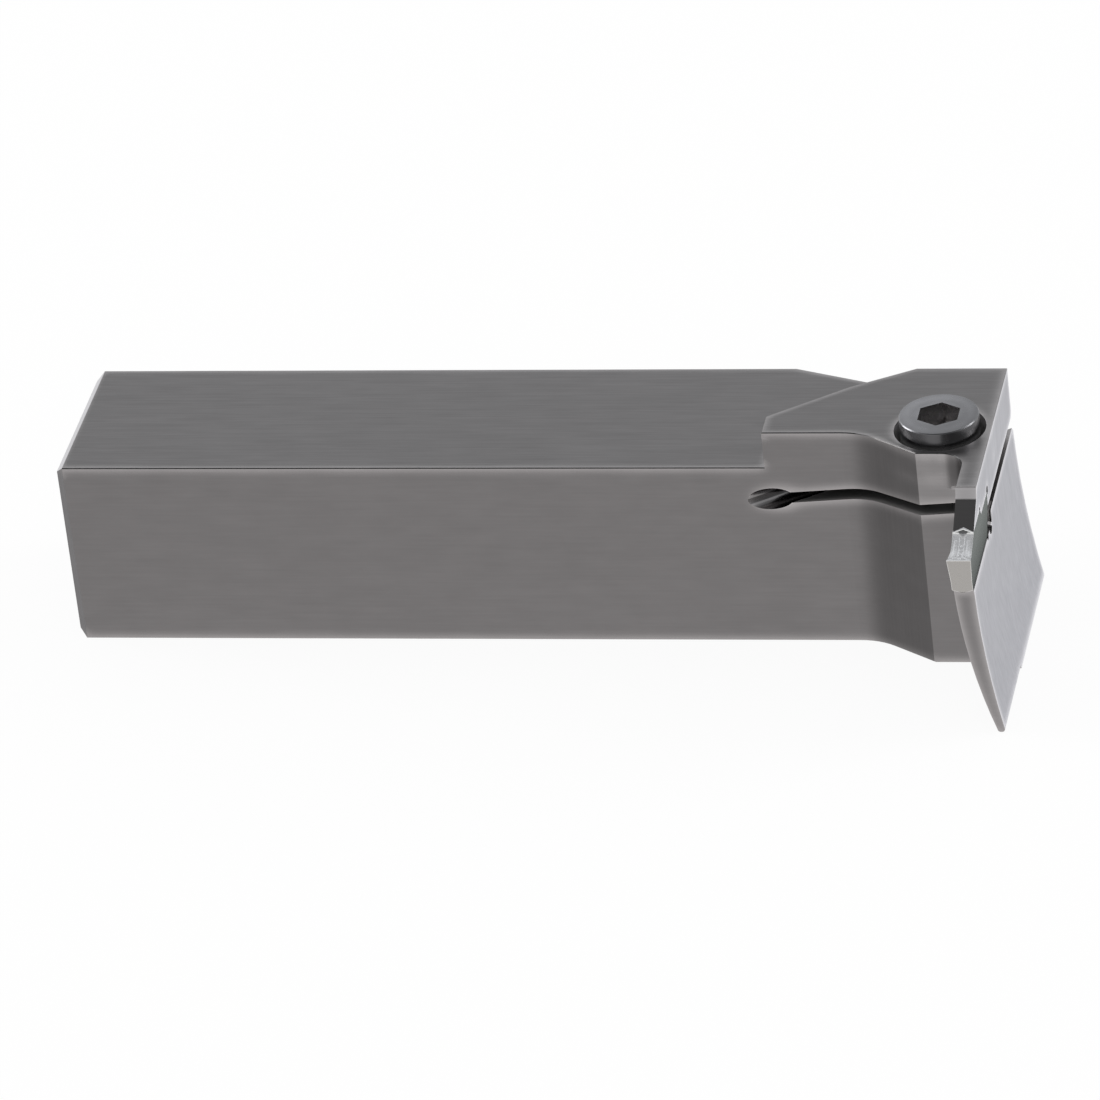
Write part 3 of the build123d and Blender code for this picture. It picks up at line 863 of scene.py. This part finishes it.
studioSettings = {
    "floorSize": 6.0,
    "floorX": 0.06,
    "floorGap": 0.00002,
    "floorColour": (0.9, 0.9, 0.9),
    "floorGlow": 0.93,
    "roomLight": 0.75,
    "skyColour": (0.968, 0.982, 1.0),
    "lowColour": (1.0, 0.985, 0.985),
    "horizon": 0.92,
    "overhead": 0.19,
    "overheadRise": (0.45, 0.93),                    # upward part of the direction, over which it darkens
    "lowRise": (-0.1, 0.1),
    "lowLeft": 0.5,
    "leftReach": (-0.75, -0.3),
    "lamps": (                                       # name, place, target, size, watts
        ("leftLight", (-1.0, 0.15, 0.55), (0.06, 0, 0), 0.6, 5.0),
        ("rightLight", (1.1, 0.25, 0.45), (0.08, 0, 0), 0.5, 5.0),
    ),
    "lens": 277.374,
    "sensorWidth": 36.0,
    "cameraPlace": (0.277906, -0.906609, 0.531499),
    "cameraForward": (-0.20274746, 0.84199801, -0.49993282),
    "cameraRight": (0.97923058, 0.17483635, -0.1026631),
}


def makeFloor(s):
    bpy.ops.mesh.primitive_plane_add(size=s["floorSize"],
                                     location=(s["floorX"], 0, cadBox[0][2] - s["floorGap"]))
    floor = bpy.context.object
    settle(floor, "studioFloor")
    material, shader = newMaterial("paleFloor", s["floorColour"], metallic=0.0, roughness=0.9)
    tree = material.node_tree
    shader.inputs["Specular IOR Level"].default_value = 0.0
    path = tree.nodes.new("ShaderNodeLightPath").outputs
    seen = anyOf(tree, path["Is Camera Ray"], path["Is Glossy Ray"], path["Is Transmission Ray"])
    glow = tree.nodes.new("ShaderNodeEmission")
    glow.inputs["Color"].default_value = (1, 1, 1, 1)
    share = addMath(tree, 'MULTIPLY', seen, s["floorGlow"])
    surface = mixShaders(tree, share, shader.outputs[0], glow.outputs[0])
    tree.links.new(surface, tree.nodes["Material Output"].inputs["Surface"])
    dress(floor, material)
    floor.visible_glossy = False


def addBackground(tree, colour, strength):
    background = tree.nodes.new("ShaderNodeBackground")
    linkOrSet(tree, background.inputs["Color"], (*colour, 1) if isinstance(colour, tuple) else colour)
    linkOrSet(tree, background.inputs["Strength"], strength)
    return background.outputs[0]


def makeWorld(s):
    world = bpy.data.worlds.new("studioWorld")
    bpy.context.scene.world = world
    world.use_nodes = True
    tree = world.node_tree
    tree.nodes.clear()
    path = tree.nodes.new("ShaderNodeLightPath").outputs
    coordinates = tree.nodes.new("ShaderNodeTexCoord")
    direction = splitVector(tree, coordinates.outputs["Generated"])
    # what metal sees: pale all round, darker overhead and low on the left
    above = addRange(tree, direction[2], *s["overheadRise"], s["horizon"], s["overhead"], smooth=True)
    below = fallsOver(tree, direction[2], s["lowRise"], smooth=True)
    left = addRange(tree, direction[0], *s["leftReach"], s["lowLeft"], 1.0, smooth=True)
    studio = addValueMix(tree, below, above, left)
    tint = addColourMix(tree, below, s["skyColour"], s["lowColour"])
    glossy = addBackground(tree, tint, studio)
    room = addBackground(tree, (1, 1, 1), s["roomLight"])
    seen = addBackground(tree, (1, 1, 1), 1.0)
    bright = anyOf(tree, path["Is Glossy Ray"], path["Is Transmission Ray"])
    lit = mixShaders(tree, bright, room, glossy)
    output = tree.nodes.new("ShaderNodeOutputWorld")
    tree.links.new(mixShaders(tree, path["Is Camera Ray"], lit, seen), output.inputs["Surface"])


def addSoftLight(name, place, target, size, watts):
    data = bpy.data.lights.new(name, 'AREA')
    data.shape = 'SQUARE'
    data.size = size
    data.energy = watts
    lamp = bpy.data.objects.new(name, data)
    bpy.context.scene.collection.objects.link(lamp)
    lamp.location = place
    lamp.rotation_euler = (Vector(target) - Vector(place)).to_track_quat('-Z', 'Y').to_euler()


def makeCamera(s):
    data = bpy.data.cameras.new("productCamera")
    data.lens = s["lens"]
    data.sensor_width = s["sensorWidth"]
    camera = bpy.data.objects.new("productCamera", data)
    bpy.context.scene.collection.objects.link(camera)
    forward = Vector(s["cameraForward"]).normalized()
    right = Vector(s["cameraRight"]).normalized()
    turn = Matrix((right, right.cross(forward), -forward)).transposed()
    camera.matrix_world = Matrix.Translation(s["cameraPlace"]) @ turn.to_4x4()
    bpy.context.scene.camera = camera


makeFloor(studioSettings)
makeWorld(studioSettings)
for lamp in studioSettings["lamps"]:
    addSoftLight(*lamp)
makeCamera(studioSettings)
bpy.context.scene.view_settings.view_transform = 'Standard'
print("studio made")
